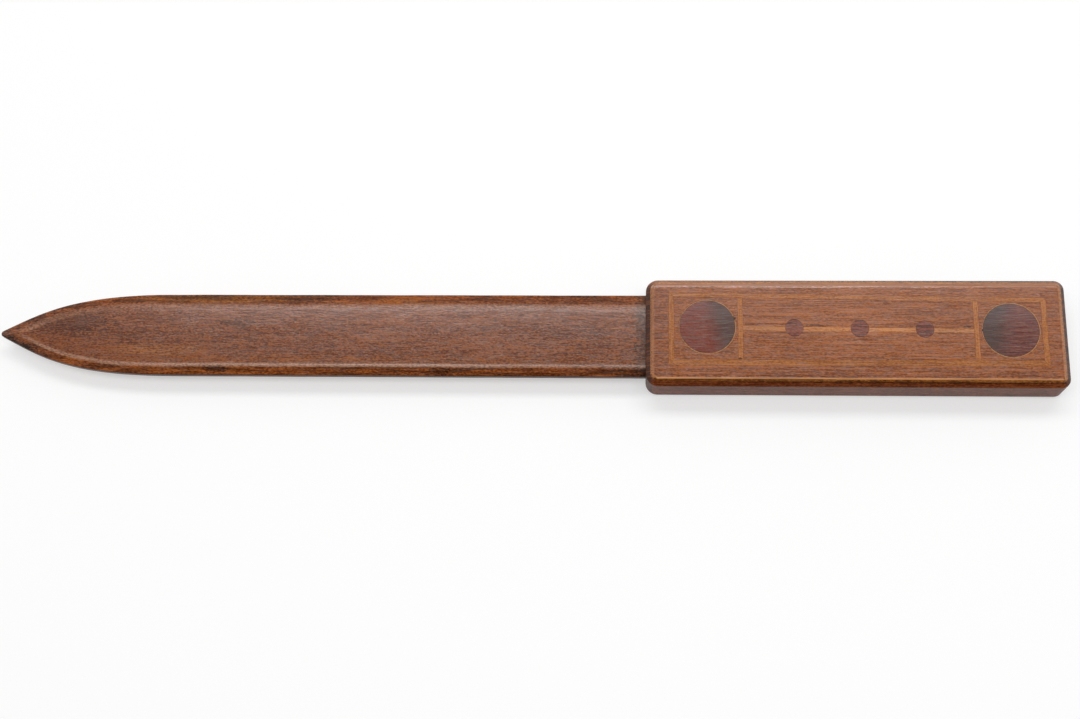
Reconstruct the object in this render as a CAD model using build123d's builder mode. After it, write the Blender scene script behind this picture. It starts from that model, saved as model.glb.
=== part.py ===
from build123d import *
import os
from math import cos, radians, sin, sqrt

# A wooden letter opener: a pointed hardwood blade, tenoned and glued into a block handle
# whose top is a marquetry panel. X runs from the point (-X) to the butt (+X), Z is up, and
# the handle's underside lies on Z = 0. Lengths are in millimetres and angles in degrees.

# Whole object
overall_length = 300.0
overrun = 5.0

# Blade
blade_width = 24.0
blade_edge_thickness = 1.8
blade_ridge_thickness = 4.2
blade_bevel_width = 2.8
blade_crown = 0.15
point_length = 50.0
point_thinning = 0.5
point_half_angle = 26.7
point_radius = 0.9
ridge_point_radius = 0.3
flank_pull_share = 0.24
shoulder_pull_share = 0.61

# Tang and mortise
tang_length = 45.0
tang_width = 14.0
tang_thickness = 3.0
tang_end_chamfer = 0.8
mortise_clearance = 0.1
mortise_end_clearance = 1.0

# Handle
handle_length = 115.5
handle_width = 31.0
handle_height = 11.5
handle_corner_radius = 2.5
handle_bevel = 1.9
foot_bevel = 0.8
arris_radius = 0.25
top_veneer_thickness = 0.7
backing_veneer_thickness = 0.6

# Frame of stringing, measured in from the handle's sides and ends; it narrows to the butt.
# A square share is the length of an end square as a share of the width between the strings.
front_border = 6.3
butt_border = 5.7
near_border = 5.55
far_border_at_front = 4.2
far_border_at_butt = 5.7
far_string_width = 1.35
near_string_width = 1.7
end_string_width = 1.45
cross_string_width = 1.35
centre_string_width = 1.35
front_square_share = 0.971
butt_square_share = 1.023

# Discs and dots. A place share is how far a disc sits off the middle of its square, along X
# and Y, as a share of the room it has there.
disc_margin = 0.4
disc_ring_width = 0.3
front_disc_place_shares = (0.45, 0.46)
butt_disc_place_shares = (0.15, 0.85)
dot_diameter = 5.0
dot_drift = 0.35
dot_place_shares = (0.224, 0.508, 0.789)

# Places along X
tip_x = -overall_length / 2
butt_x = overall_length / 2
front_x = butt_x - handle_length
handle_middle_x = (front_x + butt_x) / 2
shoulder_x = tip_x + point_length

# Levels along Z
blade_middle_z = handle_height / 2
veneer_z = handle_height - top_veneer_thickness
bevel_z = handle_height - handle_bevel

# Blade sizes that follow from the ones above. The bevel's slope is carried on past the ridge
# to the height of the crown, and the crowned faces then cut it back to the ridge.
bevel_height = (blade_ridge_thickness - blade_edge_thickness) / 2
bevel_run = blade_bevel_width * (bevel_height + blade_crown) / bevel_height
blade_half_thickness = blade_ridge_thickness / 2 + blade_crown
face_half_width = blade_width / 2 - blade_bevel_width
crown_radius = (face_half_width**2 + blade_crown**2) / (2 * blade_crown)
crown_drop = crown_radius - sqrt(crown_radius**2 - (blade_width / 2) ** 2)
point_sine = sin(radians(point_half_angle))
point_cosine = cos(radians(point_half_angle))
ridge_point_x = (
    tip_x
    + point_radius
    + (bevel_run - point_radius + ridge_point_radius) / point_sine
    - ridge_point_radius
)

# Frame corners, outside and inside of the stringing
half_width = handle_width / 2
frame_front_x = front_x + front_border
frame_butt_x = butt_x - butt_border
inner_front_x = frame_front_x + end_string_width
inner_butt_x = frame_butt_x - end_string_width
near_outer_y = near_border - half_width
near_inner_y = near_outer_y + near_string_width


def far_outer_y(x):
    """Outer side of the far string, which leans in towards the butt."""
    lean = (far_border_at_butt - far_border_at_front) / (frame_butt_x - frame_front_x)
    return half_width - far_border_at_front - lean * (x - frame_front_x)


def far_inner_y(x):
    """Inner side of the far string."""
    return far_outer_y(x) - far_string_width


def middle_y(x):
    """Half-way between the long strings, where the centre string runs."""
    return (near_inner_y + far_inner_y(x)) / 2


def quad(low_x, high_x, low_y, high_y):
    """Corners of a piece between two places along X, whose sides are functions of X."""
    return [
        (low_x, low_y(low_x)),
        (high_x, low_y(high_x)),
        (high_x, high_y(high_x)),
        (low_x, high_y(low_x)),
    ]


def near_side(x):
    """Inner side of the near string, the same at every x."""
    return near_inner_y


def centre_string_near(x):
    """Near side of the centre string."""
    return middle_y(x) - centre_string_width / 2


def centre_string_far(x):
    """Far side of the centre string."""
    return middle_y(x) + centre_string_width / 2


# Ends of the two squares and of the panel between them
front_square_length = front_square_share * (far_inner_y(inner_front_x) - near_inner_y)
butt_square_length = butt_square_share * (far_inner_y(inner_butt_x) - near_inner_y)
front_cross_x = inner_front_x + front_square_length
butt_cross_x = inner_butt_x - butt_square_length
panel_front_x = front_cross_x + cross_string_width
panel_butt_x = butt_cross_x - cross_string_width

outer_frame = [
    (frame_front_x, near_outer_y),
    (frame_butt_x, near_outer_y),
    (frame_butt_x, far_outer_y(frame_butt_x)),
    (frame_front_x, far_outer_y(frame_front_x)),
]
inner_frame = quad(inner_front_x, inner_butt_x, near_side, far_inner_y)

# Discs: both are of one size, as large as the shorter way across the tighter square allows
butt_square_middle_x = (butt_cross_x + inner_butt_x) / 2
front_square_middle_x = (inner_front_x + front_cross_x) / 2
tight_square_width = far_inner_y(inner_butt_x) - near_inner_y
ring_radius = min(tight_square_width, front_square_length, butt_square_length) / 2 - disc_margin
disc_radius = ring_radius - disc_ring_width


def disc_place(square_middle_x, square_length, shares):
    """Centre of a disc in its square."""
    room_x = square_length / 2 - ring_radius
    x = square_middle_x + shares[0] * room_x
    room_y = (far_inner_y(x + ring_radius) - near_inner_y) / 2 - ring_radius
    return (x, middle_y(x + ring_radius) + shares[1] * room_y)


front_disc_place = disc_place(front_square_middle_x, front_square_length, front_disc_place_shares)
butt_disc_place = disc_place(butt_square_middle_x, butt_square_length, butt_disc_place_shares)

# Dots
panel_length = panel_butt_x - panel_front_x
dot_xs = [panel_front_x + share * panel_length for share in dot_place_shares]
dot_places = [(x, middle_y(x) + dot_drift) for x in dot_xs]
dot_radius = dot_diameter / 2


os.makedirs("parts", exist_ok=True)


def save(builder, label):
    """Label a finished piece and write its STEP file."""
    builder.part.label = label
    export_step(builder.part, f"parts/{label}.step")


def point_outline(outline_half_width, nose_x, nose_radius):
    """Blade outline seen from above: straight flanks, a curved point and a round nose."""
    reach = shoulder_x - nose_x
    flank = (
        nose_x + nose_radius * (1 - point_sine),
        nose_radius * point_cosine,
    )
    flank_pull = (
        flank[0] + flank_pull_share * reach * point_cosine,
        flank[1] + flank_pull_share * reach * point_sine,
    )
    shoulder_pull_x = shoulder_x - shoulder_pull_share * reach
    with BuildSketch(Plane.XY) as outline:
        with BuildLine():
            Line((front_x, -outline_half_width), (front_x, outline_half_width))
            Line((front_x, outline_half_width), (shoulder_x, outline_half_width))
            Bezier(
                (shoulder_x, outline_half_width),
                (shoulder_pull_x, outline_half_width),
                flank_pull,
                flank,
            )
            ThreePointArc(flank, (nose_x, 0), (flank[0], -flank[1]))
            Bezier(
                (flank[0], -flank[1]),
                (flank_pull[0], -flank_pull[1]),
                (shoulder_pull_x, -outline_half_width),
                (shoulder_x, -outline_half_width),
            )
            Line((shoulder_x, -outline_half_width), (front_x, -outline_half_width))
        make_face()
    return outline.sketch


def crowned_section(half_thickness):
    """Cross-section with both faces crowned, drawn with Y across and Z up."""
    side_height = half_thickness - crown_drop
    side = blade_width / 2
    low = blade_middle_z - side_height
    high = blade_middle_z + side_height
    with BuildSketch(Plane.XY) as section:
        with BuildLine():
            Line((-side, low), (-side, high))
            ThreePointArc((-side, high), (0, blade_middle_z + half_thickness), (side, high))
            Line((side, high), (side, low))
            ThreePointArc((side, low), (0, blade_middle_z - half_thickness), (-side, low))
        make_face()
    return section.sketch


edge_outline = point_outline(blade_width / 2, tip_x, point_radius)
ridge_outline = point_outline(blade_width / 2 - bevel_run, ridge_point_x, ridge_point_radius)
full_section = crowned_section(blade_half_thickness)
point_section = crowned_section(blade_half_thickness - point_thinning / 2)

# Crowned form that the blade is cut to, thinned towards the point
with BuildPart() as crowned_form:
    with BuildSketch(Plane.YZ.offset(tip_x)):
        add(point_section)
    with BuildSketch(Plane.YZ.offset(shoulder_x)):
        add(full_section)
    loft(ruled=True)
    with BuildSketch(Plane.YZ.offset(shoulder_x)):
        add(full_section)
    extrude(amount=front_x - shoulder_x)

# Blade: edge slab, a bevelled layer on each face, crowned faces, and the tang
with BuildPart() as blade:
    with BuildSketch(Plane.XY.offset(blade_middle_z - blade_edge_thickness / 2)):
        add(edge_outline)
    extrude(amount=blade_edge_thickness)
    for side in (1, -1):
        with BuildSketch(Plane.XY.offset(blade_middle_z + side * blade_edge_thickness / 2)):
            add(edge_outline)
        with BuildSketch(Plane.XY.offset(blade_middle_z + side * blade_half_thickness)):
            add(ridge_outline)
        loft(ruled=True)
    add(crowned_form.part, mode=Mode.INTERSECT)
    with BuildSketch(Plane.YZ.offset(front_x)):
        with Locations((0, blade_middle_z)):
            Rectangle(tang_width, tang_thickness)
    extrude(amount=tang_length)
    chamfer(blade.faces().sort_by(Axis.X)[-1].edges(), tang_end_chamfer)
save(blade, "blade")

# Whole form of the handle, which its layers are cut from
with BuildPart() as handle_form:
    with BuildSketch():
        with Locations((handle_middle_x, 0)):
            RectangleRounded(handle_length, handle_width, handle_corner_radius)
    extrude(amount=handle_height)
    chamfer(handle_form.faces().sort_by(Axis.Z)[-1].edges(), handle_bevel)
    chamfer(handle_form.faces().sort_by(Axis.Z)[0].edges(), foot_bevel)
    fillet(handle_form.faces().sort_by(Axis.Z)[-1].edges(), arris_radius)
    fillet(handle_form.edges().filter_by_position(Axis.Z, bevel_z, bevel_z), arris_radius)

# Backing veneer, under the core
with BuildPart() as backing_veneer:
    add(handle_form.part)
    split(bisect_by=Plane.XY.offset(backing_veneer_thickness), keep=Keep.BOTTOM)
save(backing_veneer, "backing_veneer")

# Handle core, with a blind mortise for the tang
with BuildPart() as handle_core:
    add(handle_form.part)
    split(bisect_by=Plane.XY.offset(backing_veneer_thickness), keep=Keep.TOP)
    split(bisect_by=Plane.XY.offset(veneer_z), keep=Keep.BOTTOM)
    with BuildSketch(Plane.YZ.offset(front_x - overrun)):
        with Locations((0, blade_middle_z)):
            Rectangle(tang_width + 2 * mortise_clearance, tang_thickness + 2 * mortise_clearance)
    extrude(amount=overrun + tang_length + mortise_end_clearance, mode=Mode.SUBTRACT)
save(handle_core, "handle_core")

# Border ground: the veneer outside the frame, with the handle's bevel on its outer side
with BuildPart() as border_ground:
    add(handle_form.part)
    split(bisect_by=Plane.XY.offset(veneer_z), keep=Keep.TOP)
    with BuildSketch(Plane.XY.offset(veneer_z)):
        Polygon(*outer_frame, align=None)
    extrude(amount=top_veneer_thickness + overrun, mode=Mode.SUBTRACT)
save(border_ground, "border_ground")

# Frame of stringing, mitred at its corners
frame_labels = ["near_string", "butt_end_string", "far_string", "front_end_string"]
for index, label in enumerate(frame_labels):
    after = (index + 1) % len(outer_frame)
    with BuildPart() as frame_string:
        with BuildSketch(Plane.XY.offset(veneer_z)):
            Polygon(
                outer_frame[index],
                outer_frame[after],
                inner_frame[after],
                inner_frame[index],
                align=None,
            )
        extrude(amount=top_veneer_thickness)
    save(frame_string, label)

# Cross strings, butted between the long strings
cross_places = {
    "front_cross_string": (front_cross_x, panel_front_x),
    "butt_cross_string": (panel_butt_x, butt_cross_x),
}
for label, (low_x, high_x) in cross_places.items():
    with BuildPart() as cross_string:
        with BuildSketch(Plane.XY.offset(veneer_z)):
            Polygon(*quad(low_x, high_x, near_side, far_inner_y), align=None)
        extrude(amount=top_veneer_thickness)
    save(cross_string, label)

# Centre string, in four lengths that stop at the dots
length_ends = [panel_front_x, *dot_xs, panel_butt_x]
for index, (low_x, high_x) in enumerate(zip(length_ends, length_ends[1:])):
    with BuildPart() as centre_string:
        with BuildSketch(Plane.XY.offset(veneer_z)):
            Polygon(*quad(low_x, high_x, centre_string_near, centre_string_far), align=None)
            with Locations(*dot_places):
                Circle(dot_radius, mode=Mode.SUBTRACT)
        extrude(amount=top_veneer_thickness)
    save(centre_string, f"centre_string_{index + 1}")

# Middle ground panels on each side of the centre string, notched round the dots
panel_sides = {
    "far_panel_ground": (centre_string_far, far_inner_y),
    "near_panel_ground": (near_side, centre_string_near),
}
for label, (low_y, high_y) in panel_sides.items():
    with BuildPart() as panel_ground:
        with BuildSketch(Plane.XY.offset(veneer_z)):
            Polygon(*quad(panel_front_x, panel_butt_x, low_y, high_y), align=None)
            with Locations(*dot_places):
                Circle(dot_radius, mode=Mode.SUBTRACT)
        extrude(amount=top_veneer_thickness)
    save(panel_ground, label)

# Dots
for index, place in enumerate(dot_places):
    with BuildPart() as dot:
        with BuildSketch(Plane.XY.offset(veneer_z)):
            with Locations(place):
                Circle(dot_radius)
        extrude(amount=top_veneer_thickness)
    save(dot, f"dot_{index + 1}")

# End squares: the ground with its hole, the thin ring and the disc inside it
squares = {
    "front": (inner_front_x, front_cross_x, front_disc_place),
    "butt": (butt_cross_x, inner_butt_x, butt_disc_place),
}
for end, (low_x, high_x, place) in squares.items():
    with BuildPart() as square_ground:
        with BuildSketch(Plane.XY.offset(veneer_z)):
            Polygon(*quad(low_x, high_x, near_side, far_inner_y), align=None)
            with Locations(place):
                Circle(ring_radius, mode=Mode.SUBTRACT)
        extrude(amount=top_veneer_thickness)
    save(square_ground, f"{end}_square_ground")
    with BuildPart() as disc_ring:
        with BuildSketch(Plane.XY.offset(veneer_z)):
            with Locations(place):
                Circle(ring_radius)
                Circle(disc_radius, mode=Mode.SUBTRACT)
        extrude(amount=top_veneer_thickness)
    save(disc_ring, f"{end}_disc_ring")
    with BuildPart() as disc:
        with BuildSketch(Plane.XY.offset(veneer_z)):
            with Locations(place):
                Circle(disc_radius)
        extrude(amount=top_veneer_thickness)
    save(disc, f"{end}_disc")
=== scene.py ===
"""Looks of a wooden letter opener with a marquetry handle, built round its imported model.

Lengths are in metres. +X runs from the point of the blade to the butt of the handle, +Y to
its far side, and the underside of the handle lies on Z = 0.
"""

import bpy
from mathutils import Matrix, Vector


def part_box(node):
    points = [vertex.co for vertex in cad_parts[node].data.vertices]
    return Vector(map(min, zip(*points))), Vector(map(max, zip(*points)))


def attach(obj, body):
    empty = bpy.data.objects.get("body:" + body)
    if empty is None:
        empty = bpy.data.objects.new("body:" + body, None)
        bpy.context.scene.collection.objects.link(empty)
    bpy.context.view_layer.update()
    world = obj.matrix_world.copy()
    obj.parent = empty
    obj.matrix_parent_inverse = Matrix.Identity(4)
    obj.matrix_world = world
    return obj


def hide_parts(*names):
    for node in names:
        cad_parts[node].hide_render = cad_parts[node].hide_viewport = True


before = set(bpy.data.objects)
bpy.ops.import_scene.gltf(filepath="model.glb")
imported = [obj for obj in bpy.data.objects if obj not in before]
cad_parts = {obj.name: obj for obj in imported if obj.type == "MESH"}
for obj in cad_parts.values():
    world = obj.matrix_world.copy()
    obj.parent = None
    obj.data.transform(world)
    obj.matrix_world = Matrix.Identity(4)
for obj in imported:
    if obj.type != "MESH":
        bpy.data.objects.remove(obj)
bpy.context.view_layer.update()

import logging
from collections.abc import Callable
from dataclasses import dataclass, replace
from enum import Enum
from functools import reduce
from math import cos, pi, radians, sin, tan

import bmesh
import bpy
from mathutils import Matrix, Vector

Colour = tuple[float, float, float]
Place = tuple[float, float, float]
Span = tuple[float, float]
Step = tuple[float, float, float, float]  # start, end, result at the start, result at the end
Socket = bpy.types.NodeSocket
Value = Socket | float | tuple[float, ...]
Piece = bpy.types.Object
Edge = bmesh.types.BMEdge
EdgeTest = Callable[[Edge], bool]

MM = 0.001
CLOSE = 0.01 * MM  # distance under which two places count as one
LEVEL = 0.999  # Z part of a normal from which its face counts as level
ROOT = "root"
IMAGE_WIDTH = 1080
SENSOR_WIDTH_MM = 36.0

log = logging.getLogger("letter_opener")


class Grain(Enum):
    """Direction of a wood's fibres, as the angle that the pattern is turned about Z."""

    ALONG = 0.0
    ACROSS = pi / 2


# Node graphs


@dataclass(frozen=True)
class Noise:
    """A noise that is stretched along the grain.

    Attributes:
        per_mm: Waves per millimetre along the grain, across it and through it.
        detail: Finer layers added.
        shift: Offset that makes one noise differ from the next.
    """

    per_mm: Place
    detail: float
    shift: float


CLOUD = Noise((0.03, 0.11, 0.11), 3.0, 0.0)
BAND = Noise((0.012, 0.5, 0.5), 2.0, 3.1)
STREAK = Noise((0.08, 1.2, 1.2), 2.0, 7.7)
FIBRE = Noise((0.16, 3.6, 3.6), 1.0, 13.9)
PORE = Noise((0.26, 4.2, 4.2), 0.0, 21.3)
FLECK = Noise((0.45, 3.0, 3.0), 0.0, 34.7)
SPECKLE = Noise((1.3, 3.3, 3.3), 1.0, 41.1)
DRIFT = Noise((0.018, 0.05, 0.05), 2.0, 50.0)
RIPPLE = Noise((0.12, 0.25, 0.25), 1.0, 60.0)
SLOW_WAVE = Noise((0.09, 0.22, 0.22), 1.0, 70.0)
RAY = Noise((0.2, 2.2, 0.2), 0.0, 80.0)
SHIFT_DIRECTION = (1.0, 1.7, 0.6)


class Graph:
    """Node tree of a material or the world, with short calls for the nodes that they share."""

    def __init__(self, owner: bpy.types.Material | bpy.types.World) -> None:
        """Start an empty graph.

        Args:
            owner: Material or world that the graph belongs to.
        """
        owner.use_nodes = True
        self.owner = owner
        self.tree = owner.node_tree
        self.tree.nodes.clear()

    def add(self, kind: str, inputs: dict[int | str, Value] | None = None,
            **settings: object) -> bpy.types.Node:
        """Add a node.

        Args:
            kind: Node type without the ShaderNode prefix.
            inputs: What its inputs get, by their numbers or names.
            settings: Properties to set on it.

        Returns:
            The new node.
        """
        node = self.tree.nodes.new("ShaderNode" + kind)
        for key, value in settings.items():
            setattr(node, key, value)
        for key, value in (inputs or {}).items():
            self.feed(node.inputs[key], value)
        return node

    def feed(self, socket: Socket, value: Value) -> None:
        """Link a socket to an output, or set its constant.

        Args:
            socket: Input to fill.
            value: Output socket, number, or tuple of three numbers.
        """
        if isinstance(value, Socket):
            self.tree.links.new(value, socket)
        elif isinstance(value, tuple) and socket.type == "RGBA":
            socket.default_value = (*value, 1.0)
        else:
            socket.default_value = value

    def math(self, operation: str, *values: Value) -> Socket:
        """Combine up to three numbers with one Math node."""
        return self.add("Math", dict(enumerate(values)), operation=operation).outputs[0]

    def chain(self, operation: str, *values: Value) -> Socket:
        """Combine any count of numbers, each one with the result so far."""
        return reduce(lambda result, value: self.math(operation, result, value), values)

    def spread(self, noise: Socket, width: float) -> Socket:
        """Bring a noise to a width, with 0 in its middle."""
        return self.math("MULTIPLY_ADD", noise, width, -0.5 * width)

    def remap(self, value: Value, start: Value, end: Value, low: Value = 0.0,
              high: Value = 1.0) -> Socket:
        """Bring a value from the range start to end to the range low to high in a smooth step."""
        inputs = dict(enumerate((value, start, end, low, high)))
        return self.add("MapRange", inputs, interpolation_type="SMOOTHSTEP").outputs[0]

    def mix(self, share: Value, first: Value, second: Value, blend: str = "MIX") -> Socket:
        """Mix two colours.

        Args:
            share: Share of the second colour.
            first: Colour at a share of 0.
            second: Colour at a share of 1.
            blend: Way of blending.

        Returns:
            The mixed colour.
        """
        # The colour sockets of a Mix node share their names with its other ones, so they go by number.
        inputs = {0: share, 6: first, 7: second}
        node = self.add("Mix", inputs, data_type="RGBA", blend_type=blend, clamp_result=True)
        return node.outputs[2]

    def tint(self, share: Value, colour: Value, goal: Colour, body: Colour) -> Socket:
        """Shift a colour by what turns a wood's body colour into a goal, so its grain still shows."""
        factor = tuple(wanted / middle for wanted, middle in zip(goal, body))
        return self.mix(share, colour, self.mix(1.0, colour, factor, "MULTIPLY"))

    def noise(self, place: Socket, kind: Noise, seed: float) -> Socket:
        """Noise between 0 and 1.

        Args:
            place: Position in millimetres, X along the grain.
            kind: Kind of noise.
            seed: Offset that makes one wood differ from the next.

        Returns:
            The noise.
        """
        shift = tuple((seed + kind.shift) * part for part in SHIFT_DIRECTION)
        moved = self.add("Mapping", {0: place, "Scale": kind.per_mm, "Location": shift})
        inputs = {"Vector": moved.outputs[0], "Scale": 1.0, "Detail": kind.detail}
        return self.add("TexNoise", inputs).outputs[0]

    def parts(self, vector: Socket) -> tuple[Socket, ...]:
        """X, Y and Z of a vector."""
        return tuple(self.add("SeparateXYZ", {0: vector}).outputs)

    def normal(self) -> tuple[Socket, ...]:
        """X, Y and Z of the direction that the surface faces."""
        return self.parts(self.add("NewGeometry").outputs["Normal"])


@dataclass(frozen=True)
class Surface:
    """Places and noises that the marks on a wood are worked out from.

    Attributes:
        graph: Graph to add to.
        place: Position in millimetres.
        x: Its part along the object.
        y: Its part across it.
        streak: Noise of the fine streaks.
        speckle: Noise of the speckle.
        ragged: The speckle about 0, which breaks up the edges of patches.
    """

    graph: Graph
    place: Socket
    x: Socket
    y: Socket
    streak: Socket
    speckle: Socket
    ragged: Socket


# Finishes

PORE_EDGES: Span = (0.66, 0.76)
PORE_STEP = 0.2
PORE_SHARE = 0.55
PORE_DEPTH = 0.6
FLECK_EDGES: Span = (0.6, 0.72)
RAGGEDNESS = 4.0
HAIR_ROUGHNESS = 0.5
ROUGH_EDGES: Span = (0.1, 1.2)
SIDE_ROUGHNESS: Step = (0.6, 0.2, 0.0, 0.25)
LACQUER_IOR = 1.5
SPECKLE_HEIGHT = 4
WAVE_HEIGHT = 6
DRIFT_WIDTH = 2.4
RIPPLE_WIDTH = 0.16
TONE_WEIGHTS = (4.0, 2.5, 2.0, 7.0, 7.0)
# Dark colour of end grain, also used as painted shade on the blade's upright edges.
END_GRAIN_AND_EDGE_SHADE: Colour = (0.033, 0.01, 0.004)
END_GRAIN_RAYS: Colour = (0.11, 0.034, 0.012)
END_GRAIN_STEP: Step = (0.3, 0.7, 0.0, 0.85)
RAY_EDGES: Span = (0.5, 0.6)


@dataclass(frozen=True)
class Patch:
    """A soft-edged patch of another colour on a wood, placed in millimetres.

    Attributes:
        middle: Middle of the patch along X and Y.
        reach: Half of its size along X and Y.
        colour: Its colour.
        strength: Share of that colour in its middle.
        fade: Squares of the share of its reach between which it fades out.
    """

    middle: Span
    reach: Span
    colour: Colour
    strength: float
    fade: Span = (0.3, 1.7)

    def lay(self, surface: Surface, under: Socket, body: Colour) -> Socket:
        """Tint a colour with the patch, so that the grain still shows.

        Args:
            surface: Surface of the wood.
            under: Colour under the patch.
            body: Middle colour of the wood.

        Returns:
            The new colour.
        """
        graph = surface.graph
        squares = []
        for value, middle, reach in zip((surface.x, surface.y), self.middle, self.reach):
            away = graph.math("DIVIDE", graph.math("SUBTRACT", value, middle), reach)
            squares.append(graph.math("MULTIPLY", away, away))
        distance = graph.chain("ADD", *squares, surface.ragged)
        cover = graph.remap(distance, *self.fade, self.strength, 0.0)
        return graph.tint(cover, under, self.colour, body)


@dataclass(frozen=True)
class Wood:
    """A wood under satin lacquer, with its end grain on its ends.

    Attributes:
        name: Name of the material.
        slot: Material slot of the record that it belongs to; not used.
        deep: Colour of its dark streaks and pores.
        body: Its middle colour.
        light: Colour of its pale streaks.
        fleck_colour: Colour of the pale flecks, or none for that of the pale streaks.
        grain: Direction of its fibres.
        streaks: Contrast of the fine streaks.
        clouds: Contrast of the broad changes of tone.
        pores: Share of the surface that pores take.
        speckle: Contrast of the speckle, in the tone and in the relief.
        flecks: Strength of the pale flecks between the pores.
        fleck_per_mm: How close the flecks lie along the grain, across it and through it.
        fibre_per_mm: The same for the single fibres.
        gloss_low: Roughness on the fibres.
        gloss_high: Roughness in the pores.
        relief: Depth of the grain under the lacquer.
        gloss_level: How much light the lacquer mirrors, 0.5 for a full coat.
        seed: Offset of its patterns.
        patches: Patches of other colours.
    """

    name: str
    slot: str
    deep: Colour
    body: Colour
    light: Colour
    fleck_colour: Colour | None = None
    grain: Grain = Grain.ALONG
    streaks: float = 0.5
    clouds: float = 0.35
    pores: float = 0.3
    speckle: float = 0.4
    flecks: float = 0.2
    fleck_per_mm: Place = FLECK.per_mm
    fibre_per_mm: Place = FIBRE.per_mm
    gloss_low: float = 0.17
    gloss_high: float = 0.3
    relief: float = 0.009 * MM
    gloss_level: float = 0.5
    seed: float = 0.0
    patches: tuple[Patch, ...] = ()

    def material(self) -> bpy.types.Material:
        """Build the node material of this wood.

        Returns:
            The material.
        """
        graph = Graph(bpy.data.materials.new(self.name))
        metres = graph.add("TexCoord").outputs["Object"]
        place = graph.add("Mapping", {0: metres, "Scale": (1 / MM,) * 3}).outputs[0]
        turn = (0.0, 0.0, self.grain.value)
        fibres = self.wander(graph, graph.add("Mapping", {0: place, "Rotation": turn}).outputs[0])
        cloud, band, streak, hair, pore, fleck = (
            graph.noise(fibres, kind, self.seed)
            for kind in (
                CLOUD, BAND, STREAK, replace(FIBRE, per_mm=self.fibre_per_mm),
                PORE, replace(FLECK, per_mm=self.fleck_per_mm),
            )
        )
        pore = graph.remap(pore, *(edge - PORE_STEP * self.pores for edge in PORE_EDGES))
        fleck = graph.remap(fleck, *FLECK_EDGES)
        speckle = graph.noise(place, SPECKLE, self.seed)

        ramp = graph.add("ValToRGB", {0: self.tone(graph, (cloud, band, streak, hair, speckle))})
        stops = ramp.color_ramp.elements
        stops.new(0.5)
        for stop, shade in zip(stops, (self.deep, self.body, self.light)):
            stop.color = (*shade, 1.0)
        colour = graph.mix(graph.math("MULTIPLY", pore, PORE_SHARE), ramp.outputs[0], self.deep)
        colour = graph.mix(graph.math("MULTIPLY", fleck, self.flecks), colour,
                           self.fleck_colour or self.light)
        x, y, _ = graph.parts(place)
        ragged = graph.spread(speckle, RAGGEDNESS)
        surface = Surface(graph, place, x, y, streak, speckle, ragged)
        for patch in self.patches:
            colour = patch.lay(surface, colour, self.body)
        colour = self.dress(surface, colour)

        rough = graph.math("ADD", pore, graph.math("MULTIPLY", hair, HAIR_ROUGHNESS))
        rough = graph.remap(rough, *ROUGH_EDGES, self.gloss_low, self.gloss_high)
        facing = graph.math("ABSOLUTE", graph.normal()[2])
        shader = graph.add("BsdfPrincipled", {
            "Base Color": colour,
            "Roughness": graph.math("ADD", rough, graph.remap(facing, *SIDE_ROUGHNESS)),
            "IOR": LACQUER_IOR,
            "Specular IOR Level": self.gloss_level,
            "Normal": self.bump(graph, place, (hair, pore, speckle)),
        })
        graph.add("OutputMaterial", {0: shader.outputs[0]})
        return graph.owner

    def wander(self, graph: Graph, place: Socket) -> Socket:
        """Let the fibres wander a little to each side, as they do in sawn wood.

        Args:
            graph: Graph to add to.
            place: Position in millimetres, X along the grain.

        Returns:
            The position with its Y moved.
        """
        aside = [
            graph.spread(graph.noise(place, kind, self.seed), width)
            for kind, width in ((DRIFT, DRIFT_WIDTH), (RIPPLE, RIPPLE_WIDTH))
        ]
        x, y, z = graph.parts(place)
        y = graph.math("ADD", y, graph.math("ADD", *aside))
        return graph.add("CombineXYZ", {0: x, 1: y, 2: z}).outputs[0]

    def tone(self, graph: Graph, noises: tuple[Socket, ...]) -> Socket:
        """Place on the ramp from dark to light wood.

        Args:
            graph: Graph to add to.
            noises: Broad changes, growth bands, fine streaks, single fibres and speckle.

        Returns:
            The place, 0.5 in the middle.
        """
        contrasts = (self.clouds, self.clouds, self.streaks, self.streaks, self.speckle)
        swings = (
            graph.spread(noise, weight * contrast)
            for noise, weight, contrast in zip(noises, TONE_WEIGHTS, contrasts)
        )
        return graph.chain("ADD", 0.5, *swings)

    def bump(self, graph: Graph, place: Socket, noises: tuple[Socket, ...]) -> Socket:
        """Relief of the grain and the slow waves of the lacquer.

        Args:
            graph: Graph to add to.
            place: Position in millimetres.
            noises: Single fibres, pores, and the speckle of the lacquer.

        Returns:
            The bent normal.
        """
        hair, pore, speckle = noises
        height = graph.math("MULTIPLY_ADD", pore, -PORE_DEPTH, hair)
        height = graph.math("MULTIPLY_ADD", speckle, SPECKLE_HEIGHT * self.speckle, height)
        fine = {"Strength": 1.0, "Distance": self.relief, "Height": height}
        slow = {
            "Strength": 1.0,
            "Distance": WAVE_HEIGHT * self.relief,
            "Height": graph.noise(place, SLOW_WAVE, self.seed),
            "Normal": graph.add("Bump", fine).outputs[0],
        }
        return graph.add("Bump", slow).outputs[0]

    def dress(self, surface: Surface, colour: Socket) -> Socket:
        """Darken the end grain on the ends of the piece.

        Args:
            surface: Surface of the wood.
            colour: Its colour.

        Returns:
            The new colour.
        """
        graph = surface.graph
        ends = graph.remap(graph.math("ABSOLUTE", graph.normal()[0]), *END_GRAIN_STEP)
        rays = graph.remap(graph.noise(surface.place, RAY, self.seed), *RAY_EDGES)
        return graph.mix(ends, colour, graph.mix(rays, END_GRAIN_AND_EDGE_SHADE, END_GRAIN_RAYS))


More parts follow.
